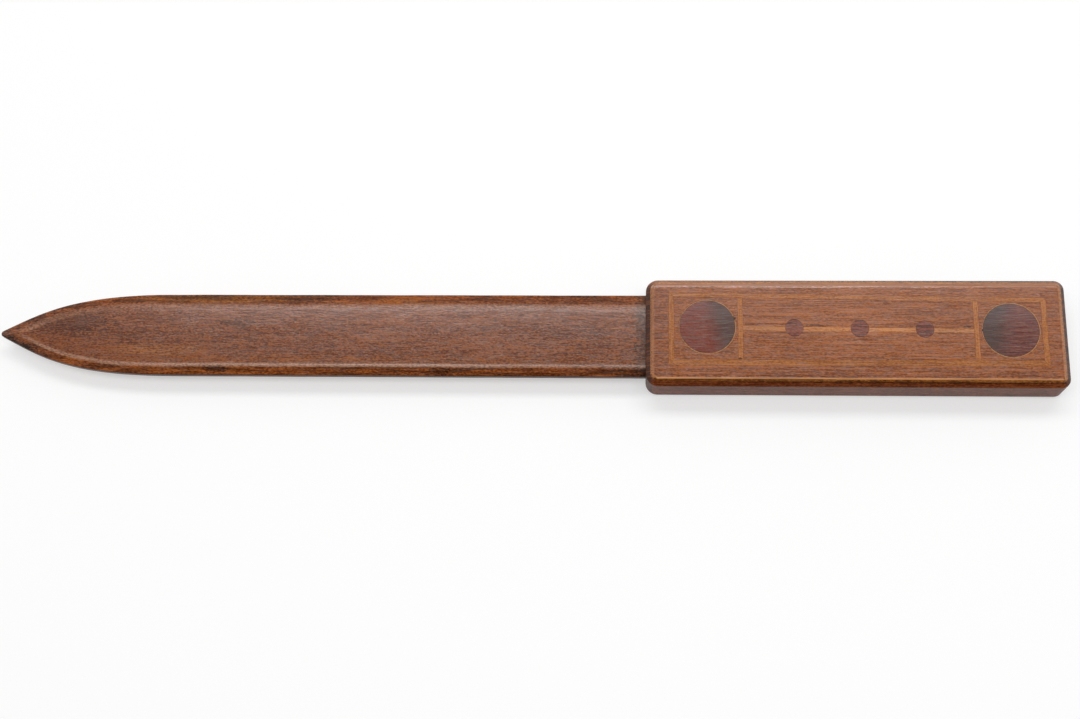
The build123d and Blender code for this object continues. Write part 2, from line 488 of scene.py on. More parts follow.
@dataclass(frozen=True)
class BladeWood(Wood):
    """Wood of the blade, with streaky bevels, ridges lightened by wear and a painted highlight, and
    upright edges darkened with painted shade.

    How level the surface lies is 1 on a flat face and less on a bevel.

    Attributes:
        ridge_wear_and_highlight: Colour of the ridges, worn light and also painted with their
            highlight.
        ridge_top: How level the surface lies where a ridge starts and is full.
        ridge_fade: By how much less level it lies where the ridge's foot has faded out.
        near_foot: How level the foot of the near ridge lies, along X.
        far_foot: How level the foot of the far ridge lies.
        to_far: Places along Y between which the near side's looks turn into the far side's.
        rub_and_highlight_speckle: How the speckle breaks up the rubbing and its painted highlight.
        far_rub_and_highlight: How strongly the far ridge is rubbed and highlighted, along X.
        handle_rub_and_highlight: How the rubbing and highlight get weaker towards the handle.
        tip_rub_and_highlight: How they get weaker towards the tip.
        bevel: How level the surface lies where a bevel starts and is full.
        bevel_lines: Darkening and lightening of a bevel by the streaks.
        edge_shade: How level the surface lies where the painted shade on the upright edges starts and
            is full, and
        how strong that painted shade is there.
    """

    ridge_wear_and_highlight: Colour = (0.48, 0.26, 0.17)
    ridge_top: Span = (0.998, 0.985)
    ridge_fade: float = 0.02
    near_foot: Step = (-145.0, -122.0, 0.952, 0.925)
    far_foot: float = 0.966
    to_far: Span = (0.0, 4.0)
    rub_and_highlight_speckle: Step = (0.35, 0.65, 0.3, 0.85)
    far_rub_and_highlight: Step = (-50.0, 0.0, 0.4, 0.62)
    handle_rub_and_highlight: Step = (-20.0, 20.0, 1.0, 0.6)
    tip_rub_and_highlight: Step = (-149.5, -136.0, 0.1, 1.0)
    bevel: Span = (0.975, 0.96)
    bevel_lines: Step = (0.35, 0.65, 0.65, 1.4)
    edge_shade: Step = (0.9, 0.7, 0.0, 0.75)

    def dress(self, surface: Surface, colour: Socket) -> Socket:
        """Streak the bevels, lighten the ridges with wear and a painted highlight, and darken the
        upright edges with painted shade.

        Args:
            surface: Surface of the wood.
            colour: Its colour.

        Returns:
            The new colour.
        """
        graph, x, y = surface.graph, surface.x, surface.y
        level = graph.math("ABSOLUTE", graph.normal()[2])
        lines = graph.remap(surface.streak, *self.bevel_lines)
        lined = graph.mix(1.0, colour, lines, "MULTIPLY")
        colour = graph.mix(graph.remap(level, *self.bevel), colour, lined)
        foot = graph.remap(y, *self.to_far, graph.remap(x, *self.near_foot), self.far_foot)
        # Rubbed ridges: this light colour stands for wear and also paints the ridges' highlight.
        rubbing_and_highlight = graph.chain(
            "MULTIPLY",
            graph.remap(level, *self.ridge_top),
            graph.remap(level, foot, graph.math("ADD", foot, self.ridge_fade)),
            graph.remap(surface.speckle, *self.rub_and_highlight_speckle),
            graph.remap(y, *self.to_far, 1.0, graph.remap(x, *self.far_rub_and_highlight)),
            graph.remap(x, *self.handle_rub_and_highlight),
            graph.remap(x, *self.tip_rub_and_highlight),
        )
        colour = graph.mix(rubbing_and_highlight, colour, self.ridge_wear_and_highlight)
        # Painted shade: the upright edges, far from level, are darkened to the dark end grain colour.
        return graph.mix(graph.remap(level, *self.edge_shade), colour, END_GRAIN_AND_EDGE_SHADE)


@dataclass(frozen=True)
class BorderWood(Wood):
    """Veneer of the panel's border, bevelled with the handle, its arris lightened by wear and a
    painted highlight on the near side and by a painted highlight on the far side.

    How level the surface lies is 1 on the panel's top and less on the bevel.

    Attributes:
        bevel_colour: Colour on the bevel.
        near_wear_and_highlight: Colour of the arris on the near side, worn light and also painted with
            its highlight.
        far_painted_highlight: Colour of the painted highlight on the far arris.
        bevel: How level the surface lies where the bevel's colour starts and is full.
        near_arris: How level it lies where the near rubbing and highlight start and are full.
        far_arris: The same on the far side.
        arris_foot: How level it lies where the rubbing and highlight have faded out and are full
            again.
        to_far: How far the surface faces to the far side where its looks take over.
        rub_and_highlight_streak: How the streaks break up the rubbing and highlight.
        front_rub_and_highlight: How they get weaker where the surface faces the blade.
        butt_rub_and_highlight: The same at the butt.
    """

    bevel_colour: Colour = (0.34, 0.115, 0.022)
    near_wear_and_highlight: Colour = (0.7, 0.31, 0.12)
    far_painted_highlight: Colour = (0.4, 0.2, 0.13)
    bevel: Span = (0.93, 0.8)
    near_arris: Span = (0.99, 0.95)
    far_arris: Span = (0.999, 0.99)
    arris_foot: Span = (0.76, 0.88)
    to_far: Span = (-0.1, 0.1)
    rub_and_highlight_streak: Step = (0.3, 0.6, 0.55, 1.0)
    front_rub_and_highlight: Step = (-0.25, -0.1, 0.36, 1.0)
    butt_rub_and_highlight: Step = (0.1, 0.25, 1.0, 0.55)

    def dress(self, surface: Surface, colour: Socket) -> Socket:
        """Colour the bevel, and lighten the arris with wear and a painted highlight.

        Args:
            surface: Surface of the wood.
            colour: Its colour.

        Returns:
            The new colour.
        """
        graph = surface.graph
        endward, farward, level = graph.normal()
        bevelled = graph.remap(level, *self.bevel)
        colour = graph.tint(bevelled, colour, self.bevel_colour, self.body)
        side = graph.remap(farward, *self.to_far)
        arris = (
            graph.math("MULTIPLY_ADD", side, far - near, near)
            for near, far in zip(self.near_arris, self.far_arris)
        )
        # Rubbed arris: wear and a painted highlight on the near side, a painted highlight on the far
        # side.
        rubbing_and_highlight = graph.chain(
            "MULTIPLY",
            graph.remap(level, *arris),
            graph.remap(level, *self.arris_foot),
            graph.remap(surface.streak, *self.rub_and_highlight_streak),
            graph.remap(endward, *self.front_rub_and_highlight),
            graph.remap(endward, *self.butt_rub_and_highlight),
        )
        return graph.mix(rubbing_and_highlight, colour, graph.mix(side, self.near_wear_and_highlight, self.far_painted_highlight))


@dataclass(frozen=True)
class InlaidWood(Wood):
    """Veneer of an inlaid piece, with a glue line round it.

    Attributes:
        glue: Colour of the glue line.
        glue_share: How clearly that line shows.
        glue_edge: How level the surface lies where the line starts and is full.
    """

    glue: Colour = (0.1, 0.03, 0.009)
    glue_share: float = 0.8
    glue_edge: Span = (0.97, 0.85)

    def dress(self, surface: Surface, colour: Socket) -> Socket:
        """Add the glue line.

        Args:
            surface: Surface of the wood.
            colour: Its colour.

        Returns:
            The new colour.
        """
        graph = surface.graph
        line = graph.remap(graph.normal()[2], *self.glue_edge, 0.0, self.glue_share)
        return graph.mix(line, colour, self.glue)


@dataclass(frozen=True)
class SandShadedWood(InlaidWood):
    """A dark wood whose veneer was scorched in hot sand on one side.

    Attributes:
        scorched: Colour on the scorched side.
        scorch_start: Place along X, in millimetres, where the scorch starts.
        scorch_end: Place where it is full.
        scorch_lean: How far the scorch's front moves along X per millimetre of Y.
        scorch_share: Share of the scorched colour where it is full.
        ragged_front: Width over which the streaks break up the front, in millimetres.
        painted_sheen: Colour of a faint painted sheen on the far half.
        sheen_start: Place along Y, in millimetres, where the painted sheen starts.
        sheen_end: Place where it is full.
        sheen_share: Share of the painted sheen where it is full.
    """

    scorched: Colour = (0.056, 0.042, 0.036)
    scorch_start: float = 0.0
    scorch_end: float = 1.0
    scorch_lean: float = 0.0
    scorch_share: float = 0.75
    ragged_front: float = 3.0
    painted_sheen: Colour = (0.45, 0.41, 0.44)
    sheen_start: float = 0.0
    sheen_end: float = 1.0
    sheen_share: float = 0.065

    def dress(self, surface: Surface, colour: Socket) -> Socket:
        """Scorch one side of the disc, paint a faint sheen on its far half and add its glue line.

        Args:
            surface: Surface of the wood.
            colour: Its colour.

        Returns:
            The new colour.
        """
        graph = surface.graph
        front = graph.math("MULTIPLY_ADD", surface.y, self.scorch_lean, surface.x)
        front = graph.math("ADD", front, graph.spread(surface.streak, self.ragged_front))
        ends = sorted(((self.scorch_start, 0.0), (self.scorch_end, self.scorch_share)))
        (start, low), (end, high) = ends
        colour = graph.mix(graph.remap(front, start, end, low, high), colour, self.scorched)
        # Painted sheen: the far half of the disc is lightened towards a pale grey.
        share = graph.remap(surface.y, self.sheen_start, self.sheen_end, 0.0, self.sheen_share)
        return super().dress(surface, graph.mix(share, colour, self.painted_sheen))


BLADE_WOOD = BladeWood(
    name="blade_wood", slot="blade_wood",
    deep=(0.095, 0.021, 0.005), body=(0.187, 0.05, 0.013), light=(0.275, 0.083, 0.025),
    streaks=0.25, clouds=0.28, pores=0.4, speckle=0.5, flecks=0.45, fleck_per_mm=(1.0, 3.4, 3.4),
    fleck_colour=(0.33, 0.13, 0.06), gloss_low=0.19, gloss_high=0.33, relief=0.013 * MM, seed=1.0,
    patches=(
        # Painted shade: a more saturated band inboard of the near ridge, where the face catches no
        # sheen.
        Patch((-45.0, -7.7), (95.0, 1.3), (0.22, 0.058, 0.009), 0.75),
        # Painted shade: the far bevel is tinted more saturated, which dulls its sheen.
        Patch((-60.0, 10.8), (110.0, 2.4), (0.185, 0.043, 0.005), 0.85),
        Patch((-22.0, 11.1), (72.0, 0.9), (0.15, 0.037, 0.009), 0.8),
        Patch((-149.6, 0.2), (2.4, 1.3), (0.09, 0.028, 0.012), 0.7),
        # Painted shade: dark marks along the near edge of the tip, then along its far edge.
        Patch((-147.6, -1.7), (2.2, 0.9), (0.035, 0.011, 0.005), 0.9),
        Patch((-145.4, -2.85), (2.2, 0.9), (0.035, 0.011, 0.005), 0.9),
        Patch((-143.2, -3.9), (2.2, 0.9), (0.035, 0.011, 0.005), 0.9),
        Patch((-140.8, -5.05), (2.2, 0.85), (0.035, 0.011, 0.005), 0.8),
        Patch((-138.0, -6.25), (2.4, 0.7), (0.05, 0.015, 0.006), 0.6),
        Patch((-143.4, 4.0), (2.4, 0.6), (0.07, 0.022, 0.01), 0.75),
        Patch((-139.6, 5.75), (2.8, 0.6), (0.07, 0.022, 0.01), 0.75),
        Patch((-135.4, 7.4), (3.2, 0.6), (0.07, 0.022, 0.01), 0.75),
        Patch((-130.6, 8.9), (3.6, 0.6), (0.07, 0.022, 0.01), 0.65),
        # Painted shade: the far ridge is tinted darker and more saturated, which dulls its sheen.
        Patch((-82.0, 7.6), (44.0, 1.7), (0.19, 0.042, 0.003), 0.8),
        Patch((-88.0, 10.8), (22.0, 1.8), (0.22, 0.08, 0.015), 0.6),
        Patch((-62.0, 11.0), (8.0, 1.6), (0.1, 0.03, 0.009), 0.6),
        Patch((-60.0, -11.4), (110.0, 1.6), (0.2, 0.05, 0.007), 0.8),
        Patch((-130.0, 3.0), (11.0, 3.2), (0.07, 0.018, 0.007), 0.5),
        Patch((-103.0, -5.0), (14.0, 1.6), (0.27, 0.085, 0.017), 0.6),
        Patch((-80.6, 3.0), (6.0, 1.2), (0.08, 0.02, 0.006), 0.55),
        Patch((-34.0, 9.8), (8.0, 1.3), (0.26, 0.08, 0.016), 0.6),
        Patch((-87.0, -10.3), (3.2, 1.0), (0.035, 0.01, 0.004), 0.65),
        Patch((-23.0, -10.6), (2.8, 1.0), (0.035, 0.01, 0.004), 0.65),
        # Painted shade with dirt where the blade meets the handle, which shades it.
        Patch((35.0, 0.0), (3.2, 30.0), (0.08, 0.03, 0.014), 0.75),
        Patch((32.0, -10.6), (7.0, 1.6), (0.04, 0.012, 0.005), 0.6),
    ),
)
CORE_WOOD = Wood(
    name="core_wood", slot="core_wood",
    deep=(0.1, 0.02, 0.005), body=(0.185, 0.043, 0.0115), light=(0.27, 0.075, 0.022),
    streaks=0.35, clouds=0.3, pores=0.4, flecks=0.15, gloss_level=0.25, seed=11.0,
    patches=(
        Patch((92.0, 14.9), (75.0, 1.4), (0.33, 0.11, 0.026), 0.9),
        # Painted shade: a dark line along the far upright edge, below the bevel's rounding.
        Patch((92.0, 15.6), (75.0, 0.45), (0.05, 0.014, 0.006), 0.95),
        Patch((140.0, 15.5), (48.0, 0.65), (0.07, 0.022, 0.009), 0.9),
        Patch((110.0, -14.4), (45.0, 0.2), (0.05, 0.014, 0.006), 0.8),
    ),
)
BACKING_VENEER = Wood(
    name="backing_veneer", slot="backing_wood",
    deep=(0.12, 0.03, 0.008), body=(0.22, 0.06, 0.015), light=(0.3, 0.095, 0.03), seed=17.0,
)
GROUND_LOOKS: dict[str, object] = dict(
    slot="ground_veneer",
    deep=(0.155, 0.039, 0.008), body=(0.267, 0.074, 0.016), light=(0.375, 0.112, 0.029),
    streaks=0.55, pores=0.45, flecks=0.4, fleck_per_mm=(0.9, 3.8, 3.8),
    fibre_per_mm=(0.05, 3.9, 3.9), fleck_colour=(0.42, 0.16, 0.065), seed=23.0,
)
GROUND_VENEER = InlaidWood(
    name="ground_veneer", clouds=0.2, glue_share=0.35, **GROUND_LOOKS,
    patches=(
        Patch((93.0, 1.0), (25.0, 6.0), (0.31, 0.089, 0.02), 0.8),
        Patch((81.1, 1.75), (3.4, 0.2), (0.05, 0.016, 0.006), 0.8),
        Patch((63.2, 1.8), (2.4, 0.18), (0.06, 0.018, 0.006), 0.7),
        Patch((122.7, 1.5), (1.3, 0.3), (0.05, 0.014, 0.006), 0.75),
        Patch((59.15, 3.7), (0.3, 0.35), (0.02, 0.008, 0.005), 0.95),
    ),
)
BORDER_VENEER = BorderWood(
    name="border_veneer", clouds=0.25, **GROUND_LOOKS,
    patches=(
        Patch((60.0, -14.6), (42.0, 1.3), (0.12, 0.034, 0.008), 0.75),
        Patch((122.0, -14.7), (38.0, 1.0), (0.14, 0.036, 0.006), 0.7),
        Patch((92.0, -12.75), (75.0, 0.35), (0.2, 0.045, 0.004), 0.8),
        # Painted highlight: a pale line along the far arris.
        Patch((68.0, 13.05), (50.0, 0.42), (0.5, 0.25, 0.15), 0.9),
        Patch((37.0, 0.0), (4.5, 18.0), (0.17, 0.044, 0.011), 0.55),
    ),
)
STRING_ALONG = InlaidWood(
    name="string_veneer_along", slot="string_veneer",
    deep=(0.23, 0.065, 0.013), body=(0.345, 0.112, 0.021), light=(0.43, 0.15, 0.035),
    streaks=0.35, clouds=0.2, pores=0.2, flecks=0.2, glue_share=0.15, seed=31.0,
    patches=(Patch((92.0, 8.8), (60.0, 2.0), (0.385, 0.127, 0.026), 0.9),),
)
STRING_ACROSS = InlaidWood(
    name="string_veneer_across", slot="string_veneer", grain=Grain.ACROSS,
    deep=(0.27, 0.08, 0.017), body=(0.39, 0.132, 0.027), light=(0.47, 0.17, 0.042),
    streaks=0.3, clouds=0.15, pores=0.1, flecks=0.1, glue_share=0.5, seed=37.0,
    patches=(
        Patch((125.6, 0.0), (2.0, 12.0), (0.43, 0.15, 0.038), 0.8),
        Patch((60.4, -8.1), (0.6, 0.3), (0.05, 0.012, 0.006), 0.9),
    ),
)
CENTRE_STRING = InlaidWood(
    name="string_veneer_centre", slot="string_veneer",
    deep=(0.28, 0.09, 0.026), body=(0.41, 0.155, 0.05), light=(0.48, 0.19, 0.065),
    streaks=0.35, clouds=0.2, pores=0.15, flecks=0.15, glue_share=0.6, seed=41.0,
    patches=(Patch((91.0, 0.0), (17.0, 4.0), (0.52, 0.2, 0.062), 0.9),),
)
RING_VENEER = InlaidWood(
    name="ring_veneer", slot="string_veneer",
    deep=(0.32, 0.13, 0.045), body=(0.43, 0.19, 0.07), light=(0.5, 0.24, 0.1),
    streaks=0.2, clouds=0.1, pores=0.0, flecks=0.0, glue=(0.045, 0.015, 0.006), seed=47.0,
    patches=(
        Patch((43.8, 0.5), (1.6, 6.5), (0.25, 0.09, 0.032), 0.8),
        Patch((127.4, 0.5), (1.6, 6.5), (0.29, 0.115, 0.042), 0.7),
        Patch((58.8, 3.7), (0.6, 0.6), (0.02, 0.008, 0.005), 0.95),
        Patch((126.4, 0.46), (0.5, 0.35), (0.02, 0.008, 0.005), 0.95),
    ),
)
DOT_VENEER = InlaidWood(
    name="dot_veneer", slot="dot_veneer",
    deep=(0.095, 0.022, 0.013), body=(0.174, 0.037, 0.019), light=(0.24, 0.063, 0.031),
    streaks=0.45, clouds=0.2, pores=0.4, flecks=0.3, fleck_colour=(0.3, 0.16, 0.1),
    glue=(0.04, 0.014, 0.008), seed=43.0,
)
DISC_VENEER = SandShadedWood(
    name="disc_veneer", slot="disc_veneer",
    deep=(0.085, 0.017, 0.009), body=(0.193, 0.036, 0.02), light=(0.22, 0.06, 0.033),
    streaks=0.25, clouds=0.12, pores=0.35, speckle=0.2, flecks=0.6, gloss_level=0.4,
    fleck_colour=(0.27, 0.14, 0.1), fleck_per_mm=(0.22, 4.6, 4.6), glue=(0.03, 0.011, 0.007),
)


# Mesh tools


def deselect_all() -> None:
    """Leave edit mode and deselect every object."""
    if bpy.context.object and bpy.context.object.mode != "OBJECT":
        bpy.ops.object.mode_set(mode="OBJECT")
    bpy.ops.object.select_all(action="DESELECT")


def make_active(piece: Piece) -> None:
    """Select one object alone and make it active.

    Args:
        piece: The object.
    """
    deselect_all()
    piece.select_set(True)
    bpy.context.view_layer.objects.active = piece


def edit(piece: Piece) -> None:
    """Open one object in edit mode with nothing selected.

    Args:
        piece: The object.
    """
    make_active(piece)
    bpy.ops.object.mode_set(mode="EDIT")
    bpy.ops.mesh.select_all(action="DESELECT")


def close_edit() -> None:
    """Go back to object mode."""
    bpy.ops.object.mode_set(mode="OBJECT")


def select_all() -> None:
    """Select the whole open mesh."""
    bpy.ops.mesh.select_all(action="SELECT")


def face_outward() -> None:
    """Turn every face of the open mesh outward, and leave them all selected."""
    select_all()
    bpy.ops.mesh.normals_make_consistent(inside=False)


def select_edges(piece: Piece, wanted: EdgeTest) -> int:
    """Select the edges of the open mesh for which a test holds, and nothing else.

    Args:
        piece: Object in edit mode.
        wanted: Test of one edge.

    Returns:
        How many edges were selected.
    """
    bpy.ops.mesh.select_all(action="DESELECT")
    bpy.context.tool_settings.mesh_select_mode = (False, True, False)
    mesh = bmesh.from_edit_mesh(piece.data)
    found = [edge for edge in mesh.edges if wanted(edge)]
    for edge in found:
        edge.select_set(True)
    bmesh.update_edit_mesh(piece.data)
    return len(found)


def at_height(edge: Edge, z: float) -> bool:
    """Whether both ends of an edge lie at one height."""
    return all(abs(vert.co.z - z) < CLOSE for vert in edge.verts)


def borders_upright(edge: Edge) -> bool:
    """Whether an edge lies between a level face and one that isn't level."""
    level = [abs(face.normal.z) > LEVEL for face in edge.link_faces]
    return any(level) and not all(level)


def apply_modifier(piece: Piece, kind: str, **settings: object) -> None:
    """Add a modifier to an object and apply it.

    Args:
        piece: The object.
        kind: Modifier type.
        settings: Properties to set on the modifier.
    """
    make_active(piece)
    modifier = piece.modifiers.new(kind.lower(), kind)
    for key, value in settings.items():
        setattr(modifier, key, value)
    bpy.ops.object.modifier_apply(modifier=modifier.name)


def smooth(piece: Piece, angle: float) -> None:
    """Shade a piece smoothly, apart from edges sharper than an angle in degrees."""
    make_active(piece)
    bpy.ops.object.shade_smooth_by_angle(angle=radians(angle))


def copy_of(source: Piece, name: str) -> Piece:
    """Copy an object with its own mesh, riding on nothing.

    Args:
        source: Object to copy.
        name: Name of the copy.

    Returns:
        The copy.
    """
    piece = bpy.data.objects.new(name, source.data.copy())
    piece.data.materials.clear()
    bpy.context.scene.collection.objects.link(piece)
    return piece


def box_piece(name: str, low: Place, high: Place) -> Piece:
    """Add a block between two corners, with its place in its mesh.

    Args:
        name: Name of the block.
        low: Lowest corner.
        high: Highest corner.

    Returns:
        The block.
    """
    deselect_all()
    middle = (Vector(low) + Vector(high)) / 2
    bpy.ops.mesh.primitive_cube_add(size=1.0, location=middle)
    piece = bpy.context.object
    piece.name = name
    piece.scale = Vector(high) - Vector(low)
    bpy.ops.object.transform_apply(location=True, rotation=True, scale=True)
    return piece


def remove(piece: Piece) -> None:
    """Delete a tool object once it has been used."""
    bpy.data.objects.remove(piece, do_unlink=True)


def carve(piece: Piece, tool: Piece, operation: str) -> None:
    """Cut a tool object out of a piece (DIFFERENCE) or join it on (UNION), and delete the tool."""
    apply_modifier(piece, "BOOLEAN", operation=operation, object=tool, solver="EXACT")
    remove(tool)


def finish_piece(piece: Piece, wood: Wood, material: bpy.types.Material, *nodes: str) -> None:
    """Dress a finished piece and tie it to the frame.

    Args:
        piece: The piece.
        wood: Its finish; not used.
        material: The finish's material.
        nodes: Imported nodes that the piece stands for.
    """
    piece.data.materials.clear()
    piece.data.materials.append(material)
    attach(piece, ROOT)
    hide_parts(*nodes)
    log.info("%s: %d faces", piece.name, len(piece.data.polygons))


# Blade


@dataclass
class Outline:
    """One side of an outline of the blade in plan, from the shoulder round to the nose.

    Attributes:
        half_width: Distance from the middle at the shoulder.
        nose_x: Place of the nose along X.
        nose_radius: Radius of the nose.
        shoulder_x: Place of the shoulder along X.
        half_angle: Angle between the flank and the middle line at the nose.
        flank_pull: Share of the reach that the flank keeps its direction for.
        shoulder_pull: Share of the reach that the shoulder keeps its direction for.
    """

    half_width: float
    nose_x: float
    nose_radius: float
    shoulder_x: float
    half_angle: float = radians(26.7)
    flank_pull: float = 0.24
    shoulder_pull: float = 0.61

    def curve(self, share: float) -> Vector:
        """Point on the curved flank.

        Args:
            share: 0 at the shoulder, 1 where the nose starts.

        Returns:
            The point, with Z at 0.
        """
        reach = self.shoulder_x - self.nose_x
        flank = self.nose(0.0)
        direction = Vector((cos(self.half_angle), sin(self.half_angle), 0.0))
        points = (
            Vector((self.shoulder_x, self.half_width, 0.0)),
            Vector((self.shoulder_x - self.shoulder_pull * reach, self.half_width, 0.0)),
            flank + self.flank_pull * reach * direction,
            flank,
        )
        left = 1 - share
        weights = (left**3, 3 * share * left**2, 3 * share**2 * left, share**3)
        return sum((weight * point for weight, point in zip(weights, points)), Vector())

    def nose(self, share: float) -> Vector:
        """Point on the round nose, at a share of 0 where the flank ends and 1 on the middle line."""
        angle = self.half_angle + share * (pi / 2 - self.half_angle)
        return Vector((
            self.nose_x + self.nose_radius * (1 - sin(angle)),
            self.nose_radius * cos(angle),
            0.0,
        ))


@dataclass(frozen=True)
class BladeSide:
    """How one side of the blade was worked by hand.

    Attributes:
        direction: 1 for the far side, -1 for the near one.
        bevel_width: Width of its bevel on the parallel part, seen from above.
        ridge_soft: Distance from its ridge at which the rounding starts, by the handle.
    """

    direction: int
    bevel_width: float
    ridge_soft: float


@dataclass
class Blade:
    """The blade: crowned faces, softened ridges, bevels, thin edges and a hidden tang.

    Attributes:
        edge_half: Half of the thickness at the edge.
        ridge_half: Half of the thickness at the ridges.
        crown: How far the middle of a face stands over its ridges.
        sides: Bevels and ridges of the two sides, near the point both as wide as the near one.
        point_length: Length of the pointed part.
        thinning: How far a face has come down at the tip.
        tip_softening: How much wider the rounding of the ridges is at the tip, as a share.
        nose_radius: Radius of the nose.
        ridge_nose_radius: Radius of the line in which the ridges meet at the nose.
        ridge_half_angle: Angle between the ridges and the middle line at the nose.
        edge_soft: Distance from an edge at which its rounding starts.
        straight_step: Spacing of the cage along the parallel part.
        flank_steps: Steps of the cage along the curved flank.
        nose_steps: Steps of the cage round the nose.
        levels: Levels of subdivision.
        waviness: Depth of the slow waves that hand work leaves.
        wave_size: Length of those waves.
        tang_width: Width of the tang.
        tang_thickness: Thickness of the tang.
        face_shares: Places of the cage's rows on a face, as shares of the way to its ridge.
        sharp_angle: Angle in degrees from which an edge is shaded sharp.
        wood: Finish of the blade.
    """

    edge_half: float = 0.9 * MM
    ridge_half: float = 2.1 * MM
    crown: float = 0.15 * MM
    sides: tuple[BladeSide, BladeSide] = (
        BladeSide(-1, 2.8 * MM, 0.33 * MM), BladeSide(1, 3.9 * MM, 0.85 * MM),
    )
    point_length: float = 50 * MM
    thinning: float = 0.25 * MM
    tip_softening: float = 1.0
    nose_radius: float = 0.9 * MM
    ridge_nose_radius: float = 0.3 * MM
    ridge_half_angle: float = radians(22.5)
    edge_soft: float = 0.35 * MM
    straight_step: float = 9 * MM
    flank_steps: int = 14
    nose_steps: int = 3
    levels: int = 2
    waviness: float = 0.12 * MM
    wave_size: float = 9 * MM
    tang_width: float = 14 * MM
    tang_thickness: float = 3 * MM
    face_shares: tuple[float, ...] = (0.0, 0.3, 0.6, 0.85)
    sharp_angle: float = 40.0
    wood: Wood = BLADE_WOOD

    def __post_init__(self) -> None:
        """Take the blade's place and the sizes that follow from the frame."""
        low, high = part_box("blade")
        self.tip_x = low.x
        self.half_width = high.y
        self.middle_z = (low.z + high.z) / 2
        self.tang_end_x = high.x
        self.handle_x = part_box("handle_core")[0].x
        self.shoulder_x = self.tip_x + self.point_length
        self.crown_half = self.ridge_half + self.crown
        run = self.run(self.sides[0])
        setback = (run - self.nose_radius + self.ridge_nose_radius) / sin(Outline.half_angle)
        self.inner_nose_x = self.tip_x + self.nose_radius + setback - self.ridge_nose_radius

    def run(self, side: BladeSide) -> float:
        """Distance over which a side's bevel would reach the height of the crown."""
        slope = (self.ridge_half - self.edge_half) / side.bevel_width
        return (self.crown_half - self.edge_half) / slope

    def columns(self, side: BladeSide) -> list[tuple[Vector, Vector]]:
        """Places of the cage's columns on the two outlines of one side.

        Args:
            side: The side.

        Returns:
            Pairs of points on the edge and on the inner outline, handle end first.
        """
        outer = Outline(self.half_width, self.tip_x, self.nose_radius, self.shoulder_x)
        inner = Outline(
            self.half_width - self.run(side), self.inner_nose_x, self.ridge_nose_radius,
            self.shoulder_x, self.ridge_half_angle,
        )
        pairs = []
        count = round((self.handle_x - self.shoulder_x) / self.straight_step)
        for index in range(count):
            x = self.handle_x + (self.shoulder_x - self.handle_x) * index / count
            pairs.append(tuple(Vector((x, line.half_width, 0)) for line in (outer, inner)))
        flank = [index / self.flank_steps for index in range(self.flank_steps)]
        nose = [index / self.nose_steps for index in range(self.nose_steps + 1)]
        pairs += [(outer.curve(share), inner.curve(share)) for share in flank]
        return pairs + [(outer.nose(share), inner.nose(share)) for share in nose]

    def rows(self, edge: Vector, inner: Vector, ridge_soft: float) -> list[Vector]:
        """Points of one column of the cage, from the middle line out to the edge.

        Args:
            edge: Point on the edge.
            inner: Point on the inner outline, where the bevel would reach the crown's height.
            ridge_soft: Distance from the ridge at which its rounding starts.

        Returns:
            The points, with Z over the blade's middle plane.
        """
        depth = self.crown_half - self.edge_half
        tipward = max(0.0, (self.shoulder_x - inner.x) / self.point_length)
        thinned = self.thinning * tipward
        ridge_share = (self.ridge_half - thinned - self.edge_half) / depth
        soft_share = ridge_soft * (1 + self.tip_softening * tipward) / (inner - edge).length
        face_end = edge.lerp(inner, ridge_share + soft_share)
        points = []
        for share in (*self.face_shares, 1.0):
            rise = self.crown * (1 - share**2) - thinned
            points.append(Vector((face_end.x, share * face_end.y, self.ridge_half + rise)))
        edge_share = self.edge_soft / (inner - edge).length
        for share in (ridge_share - soft_share, ridge_share / 2, edge_share, 0.0):
            point = edge.lerp(inner, share)
            points.append(Vector((point.x, point.y, self.edge_half + share * depth)))
        return points

    def cage(self) -> list[list[Vector]]:
        """Points of the upper half of the blade, edge to edge in each column.

        Returns:
            The columns, handle end first; at the nose both sides end on one line.
        """
        halves = []
        for side in self.sides:
            half = [self.rows(*pair, side.ridge_soft) for pair in self.columns(side)]
            halves.append([[Vector((p.x, side.direction * p.y, p.z)) for p in row] for row in half])
        columns = []
        for near, far in zip(*halves):
            if near is halves[0][-1]:
                near = far = [(first + second) / 2 for first, second in zip(near, far)]
            middle = (near[0] + far[0]) / 2
            columns.append([*reversed(near[1:]), middle, *far[1:]])
        return columns

    def shell(self) -> Piece:
        """Model the upper half of the blade as a cage and mirror it to the whole.

        Returns:
            The blade without its tang, open at the handle.
        """
        columns = self.cage()
        deselect_all()
        bpy.ops.mesh.primitive_grid_add(
            x_subdivisions=len(columns) - 1, y_subdivisions=len(columns[0]) - 1, size=1.0
        )
        piece = bpy.context.object
        piece.name = "carved_blade"
        edit(piece)
        mesh = bmesh.from_edit_mesh(piece.data)
        mesh.verts.ensure_lookup_table()
        bpy.context.tool_settings.mesh_select_mode = (True, False, False)
        for column, points in enumerate(columns):
            for row, point in enumerate(points):
                vert = mesh.verts[row * len(columns) + column]
                vert.select_set(True)
                bpy.ops.transform.translate(value=point - vert.co)
                vert.select_set(False)
        for drop in (self.edge_soft, self.edge_half - self.edge_soft):
            self.extrude_edge(piece, drop)
        select_all()
        bpy.ops.mesh.remove_doubles(threshold=CLOSE)
        face_outward()
        close_edit()
        apply_modifier(piece, "MIRROR", use_axis=(False, False, True), merge_threshold=2 * CLOSE)
        return piece

